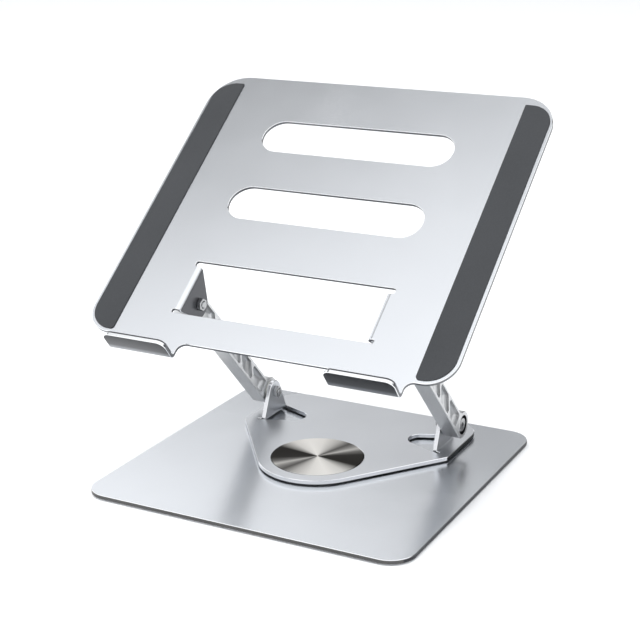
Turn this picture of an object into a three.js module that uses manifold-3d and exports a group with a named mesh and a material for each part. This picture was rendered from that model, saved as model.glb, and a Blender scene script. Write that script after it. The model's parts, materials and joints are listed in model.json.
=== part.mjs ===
// Folding laptop stand: a flat base, a turntable that swivels on it, two cast arms and a tilting tray.
// Millimetres. +Z is up, +Y runs from the front edge to the back, and the swivel axis is the Z axis.
import * as THREE from "three";
import { mergeVertices } from "three/addons/utils/BufferGeometryUtils.js";
import Module from "manifold-3d";

const wasm = await Module();
wasm.setup();

// ---- Driving dimensions ----

const fit = { glue: 0.05, turn: 0.08, thread: 0.06, slide: 0.05 };

const mat = { thickness: 0.8, inset: 3 };
const base = { width: 243, depth: 232, thickness: 3, corner: 18 };

const table = {
  gap: 1,
  thickness: 3,
  nose: 42.5,
  halfWidth: 84,
  flankAngle: 52.8,
  shoulder: 5,
  rear: 107.3,
  rearCorner: 22,
};

const hub = { radius: 20, retainer: 32.4, retainerThickness: 0.7, cap: 33, capThickness: 0.6, capProud: 0.35 };
const hubScrew = { count: 4, circle: 13, radius: 1.5, head: 3.2 };
const ring = { slideOuter: 36, frictionOuter: 31 };

const lug = { inner: 69.5, pivotY: 62, pivotZ: 25, baseWidth: 32.5, tip: 8.3, bendRadius: 1, holeTip: 10 };
const relief = { width: 2.2, depth: 2 };

const arm = {
  length: 140.1,
  lean: 44.16,
  thickness: 12.6,
  depth: 14,
  boss: 10,
  blend: 9,
  rail: 1.9,
  rib: 1.9,
  ribs: 4,
  ribSlant: 13,
  pocketDepth: 4.4,
  pocketCorner: 1.8,
};

const pivot = { shaft: 2.5, washer: 7.5, washerThickness: 0.9, counterbore: 7.2, counterboreDepth: 4.2 };
const pivotScrew = { head: 5.4, headHeight: 2.3, socket: 1.8, socketDepth: 1.4 };
const spring = { outer: 5.8, thickness: 0.7, count: 2 };
const nut = { across: 8, height: 3.2, tail: 0.8 };

const tray = {
  width: 272.4,
  depth: 239.2,
  thickness: 2.5,
  tilt: 37.8,
  frontCorner: 20,
  rearCorner: 28,
  bendRadius: 1,
};
const slot = { length: 149.2, width: 29, places: [121.5, 184.2] };
const opening = { front: 23, rear: 66.7, corner: 3 };
const ear = { front: 26, rear: 62.5, tip: 10.5, pivotDepth: 43.5, pivotDrop: 18 };
const hook = { centre: 82.3, width: 49, reach: 12, height: 15.5, corner: 5, blend: 6 };
const pad = { inset: 2.3, width: 24.3, thickness: 0.8, corner: 2.5, rearInset: 7.5, rearCorner: 17, rearInner: 0.5 };
const hookPad = { thickness: 1, inset: 0.8, clear: 1.6 };

// ---- Heights and places that follow from them ----

const baseBottom = mat.thickness;
const baseTop = baseBottom + base.thickness;
const tableBottom = baseTop + table.gap;
const tableTop = tableBottom + table.thickness;
const capTop = tableTop + hub.capProud;
const capBottom = capTop - hub.capThickness;
const retainerTop = capBottom - fit.glue;
const retainerBottom = retainerTop - hub.retainerThickness;
const hubTop = retainerBottom - fit.glue;
const recessFloor = tableBottom + table.thickness / 2;
const lugOuter = lug.inner + table.thickness;
const armInner = lugOuter + pivot.washerThickness + 2 * fit.slide;
const armOuter = armInner + arm.thickness;
const lean = THREE.MathUtils.degToRad(arm.lean);
const upperPivot = {
  y: lug.pivotY - arm.length * Math.cos(lean),
  z: lug.pivotZ + arm.length * Math.sin(lean),
};
const tilt = THREE.MathUtils.degToRad(tray.tilt);
const earInner = lugOuter - tray.thickness;

// ---- Materials ----

const finishes = {
  sheet: { color: 0xc9ccd1, roughness: 0.38, metalness: 1 },
  cast: { color: 0xb2b4b8, roughness: 0.45, metalness: 1 },
  stainless: { color: 0xbdb8ae, roughness: 0.22, metalness: 1 },
  steel: { color: 0x9a9ca0, roughness: 0.3, metalness: 1 },
  silicone: { color: 0x4a4c50, roughness: 0.85, metalness: 0 },
  rubber: { color: 0x242527, roughness: 0.9, metalness: 0 },
  acetal: { color: 0xe9e7e0, roughness: 0.5, metalness: 0 },
};

// ---- Small tools ----

// A closed three.js geometry as a manifold-3d solid, and back.
function solid(geometry) {
  const bare = new THREE.BufferGeometry();
  const flat = geometry.index ? geometry.toNonIndexed() : geometry;
  bare.setAttribute("position", flat.getAttribute("position").clone());
  const merged = mergeVertices(bare, 1e-4);
  return new wasm.Manifold(
    new wasm.Mesh({
      numProp: 3,
      vertProperties: merged.attributes.position.array,
      triVerts: new Uint32Array(merged.index.array),
    }),
  );
}

function geometryOf(body) {
  const made = body.getMesh();
  const geometry = new THREE.BufferGeometry();
  geometry.setAttribute("position", new THREE.BufferAttribute(made.vertProperties, 3));
  geometry.setIndex(new THREE.BufferAttribute(made.triVerts, 1));
  const faceted = geometry.toNonIndexed();
  faceted.computeVertexNormals();
  return faceted;
}

function piece(name, body, finish) {
  const mesh = new THREE.Mesh(geometryOf(body), new THREE.MeshStandardMaterial(finishes[finish]));
  mesh.name = name;
  return mesh;
}

// A closed outline from corners [x, y, radius]; each radius is a true arc, tangent to both sides.
function outline(corners) {
  const shape = new THREE.Shape();
  corners.forEach(([x, y, radius = 0], i) => {
    const before = corners.at(i - 1);
    const after = corners[(i + 1) % corners.length];
    const inward = new THREE.Vector2(before[0] - x, before[1] - y).normalize();
    const outward = new THREE.Vector2(after[0] - x, after[1] - y).normalize();
    const half = Math.acos(THREE.MathUtils.clamp(inward.dot(outward), -1, 1)) / 2;
    const run = radius / Math.tan(half);
    const start = inward.clone().multiplyScalar(run).add(new THREE.Vector2(x, y));
    if (i === 0) shape.moveTo(start.x, start.y);
    else shape.lineTo(start.x, start.y);
    if (radius === 0) return;
    const toCentre = inward.clone().add(outward).normalize();
    const centre = toCentre.multiplyScalar(radius / Math.sin(half)).add(new THREE.Vector2(x, y));
    const end = outward.clone().multiplyScalar(run).add(new THREE.Vector2(x, y));
    const from = Math.atan2(start.y - centre.y, start.x - centre.x);
    const to = Math.atan2(end.y - centre.y, end.x - centre.x);
    shape.absarc(centre.x, centre.y, radius, from, to, inward.cross(outward) > 0);
  });
  shape.closePath();
  return shape;
}

function rectangle(x0, y0, x1, y1, radius = 0) {
  return outline([
    [x0, y0, radius],
    [x1, y0, radius],
    [x1, y1, radius],
    [x0, y1, radius],
  ]);
}

// A shape pulled from one height to another along Z.
function slab(shape, low, high, curveSegments = 8) {
  const geometry = new THREE.ExtrudeGeometry(shape, { depth: high - low, bevelEnabled: false, curveSegments });
  return solid(geometry.translate(0, 0, low));
}

// A shape drawn in Y and Z, pulled along X.
function alongX(shape, low, high, curveSegments = 8) {
  const geometry = new THREE.ExtrudeGeometry(shape, { depth: high - low, bevelEnabled: false, curveSegments });
  const turn = new THREE.Matrix4().makeBasis(
    new THREE.Vector3(0, 1, 0),
    new THREE.Vector3(0, 0, 1),
    new THREE.Vector3(1, 0, 0),
  );
  return solid(geometry.translate(0, 0, low).applyMatrix4(turn));
}

// A shape drawn in X and Z, pulled along Y.
function alongY(shape, low, high, curveSegments = 8) {
  const geometry = new THREE.ExtrudeGeometry(shape, { depth: high - low, bevelEnabled: false, curveSegments });
  return solid(geometry.translate(0, 0, -high).rotateX(Math.PI / 2));
}

// A turned piece about Z from [radius, height] points.
function turned(points, segments = 28) {
  const profile = points.map(([radius, height]) => new THREE.Vector2(radius, height));
  return solid(new THREE.LatheGeometry(profile, segments).rotateX(Math.PI / 2));
}

function rod(radius, low, high, segments = 28) {
  return turned(
    [
      [0, low],
      [radius, low],
      [radius, high],
      [0, high],
    ],
    segments,
  );
}

function washer(inner, outer, low, high, segments = 28) {
  return rod(outer, low, high, segments).subtract(rod(inner, low - 1, high + 1, segments));
}

// A solid built about Z, laid along X on a pivot at (y, z).
function laidOnPivot(body, y, z) {
  return body.rotate([0, 90, 0]).translate([0, y, z]);
}

function mirrored(body) {
  return body.mirror([1, 0, 0]);
}

function onSide(side, body) {
  return side === "left" ? mirrored(body) : body;
}

// ---- Base ----

function footMat() {
  const x = base.width / 2 - mat.inset;
  const y = base.depth / 2 - mat.inset;
  return slab(rectangle(-x, -y, x, y, base.corner - mat.inset), 0, mat.thickness - fit.glue);
}

function hubScrewPlaces() {
  return Array.from({ length: hubScrew.count }, (_, i) => {
    const angle = ((i + 0.5) / hubScrew.count) * 2 * Math.PI;
    return [hubScrew.circle * Math.cos(angle), hubScrew.circle * Math.sin(angle), 0];
  });
}

// The countersunk screw, grown by a clearance when it is used as the cutter for its own hole.
function hubScrewBody(clearance, top) {
  const head = hubScrew.head + clearance;
  const shaft = hubScrew.radius + clearance;
  const bottom = baseBottom + (clearance ? -1 : fit.glue);
  const faceHeight = baseBottom + fit.glue;
  return turned(
    [
      [0, bottom],
      [head, bottom],
      [head, faceHeight],
      [shaft, faceHeight + head - shaft],
      [shaft, top],
      [0, top],
    ],
    16,
  );
}

function hubScrewHoles() {
  const cutter = hubScrewBody(fit.thread, capBottom + 5);
  return hubScrewPlaces()
    .map((place) => cutter.translate(place))
    .reduce((all, one) => all.add(one));
}

function basePlate() {
  const x = base.width / 2;
  const y = base.depth / 2;
  return slab(rectangle(-x, -y, x, y, base.corner), baseBottom, baseTop).subtract(hubScrewHoles());
}

// ---- Swivel ----

function hubBoss() {
  return rod(hub.radius, baseTop + fit.glue, hubTop, 56).subtract(hubScrewHoles());
}

function retainerPlate() {
  return rod(hub.retainer, retainerBottom, retainerTop, 56).subtract(hubScrewHoles());
}

function capDisc() {
  const edge = hub.capThickness / 3;
  return turned(
    [
      [0, capBottom],
      [hub.cap, capBottom],
      [hub.cap, capTop - edge],
      [hub.cap - edge, capTop],
      [0, capTop],
    ],
    64,
  );
}

function slideRing() {
  return washer(hub.radius + 0.4, ring.slideOuter, baseTop + fit.glue, tableBottom - fit.slide, 40);
}

function frictionRing() {
  return washer(hub.radius + 0.4, ring.frictionOuter, recessFloor + fit.slide, retainerBottom - fit.slide, 40);
}

// The outline: an arc round the hub, two flanks tangent to it, straight sides and a straight back.
function tableOutline() {
  const slope = THREE.MathUtils.degToRad(table.flankAngle);
  const normal = { x: Math.sin(slope), y: -Math.cos(slope) };
  const shoulderY = (table.nose - normal.x * table.halfWidth) / normal.y;
  const noseY = table.nose / normal.y;
  return outline([
    [table.halfWidth, shoulderY, table.shoulder],
    [table.halfWidth, table.rear, table.rearCorner],
    [-table.halfWidth, table.rear, table.rearCorner],
    [-table.halfWidth, shoulderY, table.shoulder],
    [0, noseY, table.nose],
  ]);
}

// The lug seen from the side: a wide foot that narrows to a round tip about the pivot.
function lugProfile(foot, tip, tall) {
  const low = tableBottom - 1;
  const tangent = Math.asin(tip / Math.hypot(foot, tall));
  const rise = Math.atan2(tall, foot) + tangent;
  const apex = Math.tan(rise) * foot;
  return outline([
    [lug.pivotY - foot, low],
    [lug.pivotY + foot, low],
    [lug.pivotY + foot, tableTop],
    [lug.pivotY, tableTop + apex, tip],
    [lug.pivotY - foot, tableTop],
  ]);
}

// One lug of the right side: sheet folded up out of the table, with its pivot hole.
function tableLug() {
  const bend = lug.inner + table.thickness + lug.bendRadius;
  const bendTop = tableTop + lug.bendRadius;
  const top = lug.pivotZ + lug.tip + 10;
  const strip = outline([
    [bend, tableBottom],
    [bend, tableTop],
    [lugOuter, tableTop, lug.bendRadius],
    [lugOuter, top],
    [lug.inner, top],
    [lug.inner, tableBottom, lug.bendRadius + table.thickness],
  ]);
  const folded = alongY(strip, lug.pivotY - 40, lug.pivotY + 40);
  const side = lugProfile(lug.baseWidth / 2, lug.tip, lug.pivotZ - tableTop);
  const hole = laidOnPivot(rod(pivot.shaft + fit.turn, 0, bendTop + 100), lug.pivotY, lug.pivotZ);
  return folded.intersect(alongX(side, lug.inner - 1, bend + 0.001)).subtract(hole);
}

// The hole that the lug was folded out of, with a relief notch at each end of the fold.
function lugHole() {
  const fold = lug.inner + table.thickness + lug.bendRadius;
  const half = lug.baseWidth / 2 + relief.width;
  const reach = lug.pivotZ + lug.tip - tableTop + table.thickness + lug.bendRadius;
  const straight = reach - lug.holeTip;
  const rise = Math.atan2(straight, half) + Math.asin(lug.holeTip / Math.hypot(half, straight));
  const hole = outline([
    [fold, lug.pivotY - half],
    [fold, lug.pivotY + half],
    [fold - Math.tan(rise) * half, lug.pivotY, lug.holeTip],
  ]);
  const notches = [-1, 1].map((end) => {
    const y = lug.pivotY + end * (half - relief.width / 2);
    const low = fold - relief.width;
    const high = fold + relief.depth;
    return slab(
      rectangle(low, y - relief.width / 2, high, y + relief.width / 2, relief.width * 0.49),
      tableBottom - 1,
      tableTop + 1,
    );
  });
  return slab(hole, tableBottom - 1, tableTop + 1).add(notches[0]).add(notches[1]);
}

function turntable() {
  const cut = lugHole();
  const plate = slab(tableOutline(), tableBottom, tableTop, 12)
    .subtract(rod(hub.radius + fit.turn, 0, tableTop + 1, 56))
    .subtract(rod(hub.cap + 0.3, recessFloor, tableTop + 1, 64))
    .subtract(cut)
    .subtract(mirrored(cut));
  return plate.add(tableLug()).add(mirrored(tableLug()));
}

// ---- Arms ----

// The arm lies along +X of its own drawing, lower pivot at the origin. Its bar leans between the bosses:
// flush with the lower boss in front (+Y) and with the upper boss behind (-Y).
const barAngle = Math.asin((arm.depth - 2 * arm.boss) / arm.length);

function barFrame(x, y) {
  const middle = arm.length / 2;
  const cos = Math.cos(barAngle);
  const sin = Math.sin(barAngle);
  return [middle + (x - middle) * cos - y * sin, (x - middle) * sin + y * cos];
}

function armOutline() {
  const middle = arm.length / 2;
  const half = arm.depth / 2;
  const offset = arm.boss - half;
  const run = middle * Math.cos(barAngle);
  const far = middle + run;
  const blendY = half + arm.blend;
  const reach = arm.boss + arm.blend;
  const back = Math.sqrt(reach ** 2 - (blendY - offset) ** 2);
  const shape = new THREE.Shape();
  const points = [];
  // Front edge, then the concave blend, then round the upper boss to the rear edge.
  const blendCentre = [far - back, blendY];
  const bossAngle = Math.atan2(blendY - offset, -back);
  const arc = (cx, cy, radius, from, to, steps) => {
    for (let i = 0; i <= steps; i++) {
      const angle = from + ((to - from) * i) / steps;
      points.push([cx + radius * Math.cos(angle), cy + radius * Math.sin(angle)]);
    }
  };
  arc(...blendCentre, arm.blend, -Math.PI / 2, bossAngle - Math.PI, 5);
  arc(far, offset, arm.boss, bossAngle, -Math.PI / 2, 20);
  const turnedHalf = points.map(([x, y]) => [2 * middle - x, -y]);
  shape.setFromPoints([...points, ...turnedHalf].map(([x, y]) => new THREE.Vector2(...barFrame(x, y))));
  return shape;
}

// Pockets between the bosses leave two rails and a row of slanting ribs, one pitch apart.
function armPockets() {
  const edge = arm.depth / 2 - arm.rail;
  const start = arm.boss + arm.rib;
  const end = arm.length - start;
  const pitch = (end - start) / (arm.ribs + 1);
  const half = arm.rib / 2 / Math.sin(Math.atan2(2 * edge, arm.ribSlant));
  const ribAt = (i, shift) => start + pitch * i + shift;
  return Array.from({ length: arm.ribs + 1 }, (_, i) => {
    const lowFront = i === 0 ? start : ribAt(i, half - arm.ribSlant / 2);
    const lowRear = i === 0 ? start : ribAt(i, half + arm.ribSlant / 2);
    const highFront = i === arm.ribs ? end : ribAt(i + 1, -half - arm.ribSlant / 2);
    const highRear = i === arm.ribs ? end : ribAt(i + 1, -half + arm.ribSlant / 2);
    return outline([
      [...barFrame(lowFront, edge), arm.pocketCorner],
      [...barFrame(lowRear, -edge), arm.pocketCorner],
      [...barFrame(highRear, -edge), arm.pocketCorner],
      [...barFrame(highFront, edge), arm.pocketCorner],
    ]);
  });
}

// Pulled along Z here: 0 is the face against the lug, arm.thickness is the outer face.
function armFlat() {
  const bossHoles = [0, arm.length].map((x) => {
    const bore = rod(pivot.shaft + fit.turn, -1, arm.thickness + 1);
    const recess = rod(pivot.counterbore, arm.thickness - pivot.counterboreDepth, arm.thickness + 1);
    return bore.add(recess).translate([x, 0, 0]);
  });
  const pockets = armPockets().flatMap((shape) => [
    slab(shape, -1, arm.pocketDepth, 4),
    slab(shape, arm.thickness - arm.pocketDepth, arm.thickness + 1, 4),
  ]);
  return [...bossHoles, ...pockets].reduce(
    (body, cutter) => body.subtract(cutter),
    slab(armOutline(), 0, arm.thickness),
  );
}

// Laid from its drawing into place: drawing X runs up the arm, drawing Y faces the front.
function armBody() {
  const place = new THREE.Matrix4().makeBasis(
    new THREE.Vector3(0, -Math.cos(lean), Math.sin(lean)),
    new THREE.Vector3(0, -Math.sin(lean), -Math.cos(lean)),
    new THREE.Vector3(1, 0, 0),
  );
  place.setPosition(armInner, lug.pivotY, lug.pivotZ);
  return armFlat().transform(place.elements);
}

// ---- Pivot hardware, drawn along Z with 0 at the lug's outer face, then laid on its pivot ----

const armFace = armInner - lugOuter;
const springSeat = armFace + arm.thickness - pivot.counterboreDepth;
const headSeat = springSeat + spring.count * (spring.thickness + fit.slide) + fit.slide;

function screwAlong(sheet) {
  const tip = -sheet - fit.slide - nut.height - nut.tail;
  const head = headSeat + pivotScrew.headHeight;
  const body = turned([
    [0, tip],
    [pivot.shaft, tip],
    [pivot.shaft, headSeat],
    [pivotScrew.head, headSeat],
    [pivotScrew.head, head - 0.5],
    [pivotScrew.head - 0.5, head],
    [0, head],
  ]);
  const socket = solid(new THREE.CylinderGeometry(pivotScrew.socket, pivotScrew.socket, 4, 6).rotateX(Math.PI / 2));
  return body.subtract(socket.translate([0, 0, head - pivotScrew.socketDepth + 2]));
}

function nutAlong(sheet) {
  const high = -sheet - fit.slide;
  const low = high - nut.height;
  const radius = nut.across / 2 / Math.cos(Math.PI / 6);
  const hex = solid(new THREE.CylinderGeometry(radius, radius, nut.height, 6).rotateX(Math.PI / 2));
  const chamfer = turned([
    [0, low],
    [nut.across / 2, low],
    [radius, low + 0.5],
    [radius, high],
    [0, high],
  ]);
  return hex
    .translate([0, 0, (low + high) / 2])
    .intersect(chamfer)
    .subtract(rod(pivot.shaft + fit.thread, low - 1, high + 1));
}

function frictionWasherAlong() {
  return washer(pivot.shaft + 0.15, pivot.washer, fit.slide, fit.slide + pivot.washerThickness);
}

function springWasherAlong(index) {
  const low = springSeat + fit.slide + index * (spring.thickness + fit.slide);
  return washer(pivot.shaft + 0.15, spring.outer, low, low + spring.thickness);
}

function pivotSet(level, side, sheet, at) {
  const lay = (body) => onSide(side, laidOnPivot(body.translate([0, 0, lugOuter]), at.y, at.z));
  const name = (what) => `${what}_${level}_${side}`;
  const springs = Array.from({ length: spring.count }, (_, i) =>
    piece(name(`spring_washer_${i + 1}`), lay(springWasherAlong(i)), "steel"),
  );
  return [
    piece(name("pivot_screw"), lay(screwAlong(sheet)), "steel"),
    piece(name("lock_nut"), lay(nutAlong(sheet)), "steel"),
    piece(name("friction_washer"), lay(frictionWasherAlong()), "acetal"),
    ...springs,
  ];
}

// ---- Tray, drawn flat: X across, Y up the slope from the front edge, 0 at its upper face ----

function trayOutline() {
  const half = tray.width / 2;
  const foldLine = hook.reach - tray.thickness - tray.bendRadius;
  const tab = (side) => {
    const inner = side * (hook.centre - (side * hook.width) / 2);
    const outer = side * (hook.centre + (side * hook.width) / 2);
    return [
      [inner, 0, hook.blend],
      [inner, -foldLine],
      [outer, -foldLine],
      [outer, 0, hook.blend],
    ];
  };
  return outline([
    [-half, 0, tray.frontCorner],
    ...tab(-1),
    ...tab(1),
    [half, 0, tray.frontCorner],
    [half, tray.depth, tray.rearCorner],
    [-half, tray.depth, tray.rearCorner],
  ]);
}

function slotOutline(y) {
  const x = slot.length / 2;
  const r = slot.width / 2;
  return rectangle(-x, y - r, x, y + r, r * 0.999);
}

// A lip folded up from the tab: a strip of folded sheet, cut to a front view with round upper corners.
function trayLip() {
  const outer = -hook.reach;
  const inner = outer + tray.thickness;
  const fold = inner + tray.bendRadius;
  const half = hook.width / 2;
  const strip = outline([
    [fold, -tray.thickness],
    [fold, 0],
    [inner, 0, tray.bendRadius],
    [inner, hook.height],
    [outer, hook.height],
    [outer, -tray.thickness, tray.bendRadius + tray.thickness],
  ]);
  const face = outline([
    [hook.centre - half, -tray.thickness - 1],
    [hook.centre + half, -tray.thickness - 1],
    [hook.centre + half, hook.height, hook.corner],
    [hook.centre - half, hook.height, hook.corner],
  ]);
  const folded = alongX(strip, hook.centre - half, hook.centre + half);
  return folded.intersect(alongY(face, outer - 1, fold + 0.001));
}

// An ear folded down at the side of the opening, with its pivot hole.
function trayEar() {
  const fold = earInner + tray.thickness + tray.bendRadius;
  const low = -ear.pivotDrop - ear.tip - 10;
  const strip = outline([
    [fold, 0],
    [earInner, 0, tray.bendRadius + tray.thickness],
    [earInner, low],
    [lugOuter, low],
    [lugOuter, -tray.thickness, tray.bendRadius],
    [fold, -tray.thickness],
  ]);
  const half = (ear.rear - ear.front) / 2;
  const middle = (ear.rear + ear.front) / 2;
  const drop = ear.pivotDrop - tray.thickness;
  const shift = ear.pivotDepth - middle;
  const widen = Math.asin(ear.tip / Math.hypot(half, drop));
  const apex = Math.tan(Math.atan2(drop, half) + widen) * half;
  const side = outline([
    [ear.front, 1],
    [ear.front, -tray.thickness],
    [middle + shift, -tray.thickness - apex, ear.tip],
    [ear.rear, -tray.thickness],
    [ear.rear, 1],
  ]);
  const hole = laidOnPivot(rod(pivot.shaft + fit.turn, 0, 200), ear.pivotDepth, -ear.pivotDrop);
  return alongY(strip, ear.front - 1, ear.rear + 1)
    .intersect(alongX(side, earInner - 1, fold + 0.001))
    .subtract(hole);
}

function trayOpening() {
  const fold = earInner + tray.thickness + tray.bendRadius;
  const cut = rectangle(-fold, opening.front, fold, opening.rear, opening.corner);
  const ends = [
    [opening.front, ear.front],
    [ear.rear, opening.rear],
  ];
  const notches = ends.flatMap(([low, high]) =>
    [-1, 1].map((side) => {
      const from = fold - opening.corner;
      const to = fold + relief.depth;
      const notch = rectangle(Math.min(side * from, side * to), low, Math.max(side * from, side * to), high, 1);
      return slab(notch, -tray.thickness - 1, 1, 5);
    }),
  );
  return notches.reduce((all, one) => all.add(one), slab(cut, -tray.thickness - 1, 1));
}

function trayBody() {
  const through = (shape) => slab(shape, -tray.thickness - 1, 1, 12);
  const flat = slot.places
    .map((y) => through(slotOutline(y)))
    .reduce((body, cutter) => body.subtract(cutter), slab(trayOutline(), -tray.thickness, 0, 8))
    .subtract(trayOpening());
  return [trayLip(), trayEar()]
    .flatMap((one) => [one, mirrored(one)])
    .reduce((body, one) => body.add(one), flat);
}

function sidePad() {
  const outer = tray.width / 2 - pad.inset;
  const inner = tray.width / 2 - pad.width;
  const shape = outline([
    [inner, pad.inset, pad.corner],
    [outer, pad.inset, tray.frontCorner - pad.inset],
    [outer, tray.depth - pad.rearInset, pad.rearCorner],
    [inner, tray.depth - pad.rearInset, pad.rearInner],
  ]);
  return slab(shape, fit.glue, fit.glue + pad.thickness, 8);
}

function hookPadBody() {
  const back = -hook.reach + tray.thickness + fit.glue;
  const half = hook.width / 2 - hookPad.inset;
  const corner = hook.corner - hookPad.inset;
  const top = hook.height - hookPad.inset * 0.5;
  const shape = outline([
    [hook.centre - half, hookPad.clear, 1],
    [hook.centre + half, hookPad.clear, 1],
    [hook.centre + half, top, corner],
    [hook.centre - half, top, corner],
  ]);
  return alongY(shape, back, back + hookPad.thickness);
}

// ---- The stand ----

const stand = new THREE.Group();

stand.add(piece("foot_mat", footMat(), "rubber"));
stand.add(piece("base_plate", basePlate(), "sheet"));
stand.add(piece("slide_ring", slideRing(), "acetal"));
stand.add(piece("swivel_hub", hubBoss(), "steel"));
hubScrewPlaces().forEach((place, i) => {
  const body = hubScrewBody(0, retainerTop - fit.glue).translate(place);
  stand.add(piece(`hub_screw_${i + 1}`, body, "steel"));
});
stand.add(piece("retainer_plate", retainerPlate(), "steel"));
stand.add(piece("cap_disc", capDisc(), "stainless"));
stand.add(piece("friction_ring", frictionRing(), "acetal"));
stand.add(piece("turntable", turntable(), "sheet"));

for (const side of ["left", "right"]) {
  stand.add(piece(`arm_${side}`, onSide(side, armBody()), "cast"));
  stand.add(...pivotSet("lower", side, table.thickness, { y: lug.pivotY, z: lug.pivotZ }));
  stand.add(...pivotSet("upper", side, tray.thickness, upperPivot));
}

const tilted = new THREE.Group();
tilted.rotation.x = tilt;
tilted.position.set(
  0,
  upperPivot.y - ear.pivotDepth * Math.cos(tilt) - ear.pivotDrop * Math.sin(tilt),
  upperPivot.z - ear.pivotDepth * Math.sin(tilt) + ear.pivotDrop * Math.cos(tilt),
);
tilted.add(piece("tray", trayBody(), "sheet"));
for (const side of ["left", "right"]) {
  tilted.add(piece(`side_pad_${side}`, onSide(side, sidePad()), "silicone"));
  tilted.add(piece(`hook_pad_${side}`, onSide(side, hookPadBody()), "silicone"));
}
stand.add(tilted);

export default stand;
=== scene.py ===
import json
import math

import bmesh
import bpy
from mathutils import Matrix, Vector


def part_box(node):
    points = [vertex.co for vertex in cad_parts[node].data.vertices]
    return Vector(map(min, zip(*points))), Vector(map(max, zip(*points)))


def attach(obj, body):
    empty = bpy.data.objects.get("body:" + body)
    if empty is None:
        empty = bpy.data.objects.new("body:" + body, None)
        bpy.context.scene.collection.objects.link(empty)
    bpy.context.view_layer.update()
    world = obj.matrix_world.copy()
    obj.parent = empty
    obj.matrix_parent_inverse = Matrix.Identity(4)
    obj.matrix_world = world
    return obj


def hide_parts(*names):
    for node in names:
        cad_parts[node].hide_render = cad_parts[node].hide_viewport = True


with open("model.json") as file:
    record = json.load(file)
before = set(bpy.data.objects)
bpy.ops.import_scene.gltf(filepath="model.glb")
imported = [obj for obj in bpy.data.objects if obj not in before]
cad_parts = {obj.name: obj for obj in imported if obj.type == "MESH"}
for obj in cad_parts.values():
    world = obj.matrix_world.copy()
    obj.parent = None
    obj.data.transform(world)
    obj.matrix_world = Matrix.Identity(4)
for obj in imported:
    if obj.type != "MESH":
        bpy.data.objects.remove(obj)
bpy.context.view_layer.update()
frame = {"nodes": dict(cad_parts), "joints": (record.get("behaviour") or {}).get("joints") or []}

# ---- Camera ----
# A long lens a little above the tray, to the stand's right.

camera_data = bpy.data.cameras.new("camera")
camera_data.lens = 80.054
camera_data.sensor_width = 36
camera_data.shift_x = -0.05
camera_data.shift_y = 0.012
camera = bpy.data.objects.new("camera", camera_data)
bpy.context.scene.collection.objects.link(camera)
bpy.context.scene.camera = camera
around, above, lean_over = (math.radians(a) for a in (26.707, 18.118, -0.136))
back = Vector((math.sin(around) * math.cos(above), -math.cos(around) * math.cos(above), math.sin(above)))
level = Vector((math.cos(around), math.sin(around), 0))
upward = back.cross(level)
right = math.cos(lean_over) * level + math.sin(lean_over) * upward
top = math.cos(lean_over) * upward - math.sin(lean_over) * level
turn = Matrix((right, top, back)).transposed().to_4x4()
camera.matrix_world = Matrix.Translation((0.44365, -0.82656, 0.41127)) @ turn

# ---- Studio ----
# A white room: a pale floor, a sky that the metal mirrors, and one large soft lamp for what isn't metal.

bpy.context.scene.view_settings.view_transform = "Standard"


class Finish:
    """A material, or the world. node() makes one node from its type, its settings and its inputs."""

    def __init__(self, owner):
        owner.use_nodes = True
        self.owner = owner
        self.tree = owner.node_tree

    def feed(self, socket, value):
        if isinstance(value, Wire):
            self.tree.links.new(value.socket, socket)
        else:
            socket.default_value = value

    def node(self, kind, settings, inputs, output=0):
        made = self.tree.nodes.new(kind)
        for name, value in settings.items():
            if name == "stops":
                ramp = made.color_ramp
                while len(ramp.elements) < len(value):
                    ramp.elements.new(0.5)
                for element, (place, colour) in zip(ramp.elements, value):
                    element.position = place
                    element.color = colour
            else:
                setattr(made, name, value)
        for name, value in inputs.items():
            self.feed(made.inputs[name], value)
        return Wire(self, made.outputs[output])


class Wire:
    """A number coming out of a node. Sums and products of wires become Math nodes."""

    def __init__(self, finish, socket):
        self.finish = finish
        self.socket = socket

    def math(self, operation, *values):
        inputs = dict(enumerate(values))
        return self.finish.node("ShaderNodeMath", {"operation": operation}, inputs)

    def __add__(self, other):
        return self.math("ADD", self, other)

    def __sub__(self, other):
        return self.math("SUBTRACT", self, other)

    def __rsub__(self, other):
        return self.math("SUBTRACT", other, self)

    def __mul__(self, other):
        return self.math("MULTIPLY", self, other)

    __radd__ = __add__
    __rmul__ = __mul__


sky = Finish(bpy.data.worlds.new("studio"))
bpy.context.scene.world = sky.owner
towards = sky.node("ShaderNodeTexCoord", {}, {}, "Generated")
east, north, overhead = (sky.node("ShaderNodeSeparateXYZ", {}, {0: towards}, axis) for axis in "XYZ")


def greys(*stops):
    return {"stops": [(place, (v * 0.985, v * 0.995, v * 1.01, 1)) for place, v in stops]}


# Overhead the sky is darkest towards the left and brightens to the front right and to the back.
# Low down behind the stand it brightens upwards and to the left, and low down in front it is all bright.
front_right = east * 0.5 - north + 0.9
high_stops = greys((0.25, 1.1), (0.4, 0.7), (0.48, 0.05), (0.59, 0.05), (0.67, 0.98), (0.78, 1.25))
high_sky = sky.node("ShaderNodeValToRGB", high_stops, {0: front_right})
up_left = overhead - east * 0.5
low_stops = greys((0.3, 0.2), (0.5, 0.85), (0.53, 0.12), (0.595, 0.15), (0.63, 1.15), (0.69, 1.5))
back_sky = sky.node("ShaderNodeValToRGB", low_stops, {0: up_left})
behind = sky.node("ShaderNodeMapRange", {}, {"Value": north, "From Min": 0.1, "From Max": 0.5}, "Result")
front_sky = (1.1, 1.11, 1.13, 1)
low_sky = sky.node("ShaderNodeMix", {"data_type": "RGBA"}, {0: behind, 6: front_sky, 7: back_sky}, 2)
lift = sky.node("ShaderNodeMapRange", {}, {"Value": overhead, "From Min": 0.5, "From Max": 0.68}, "Result")
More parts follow.
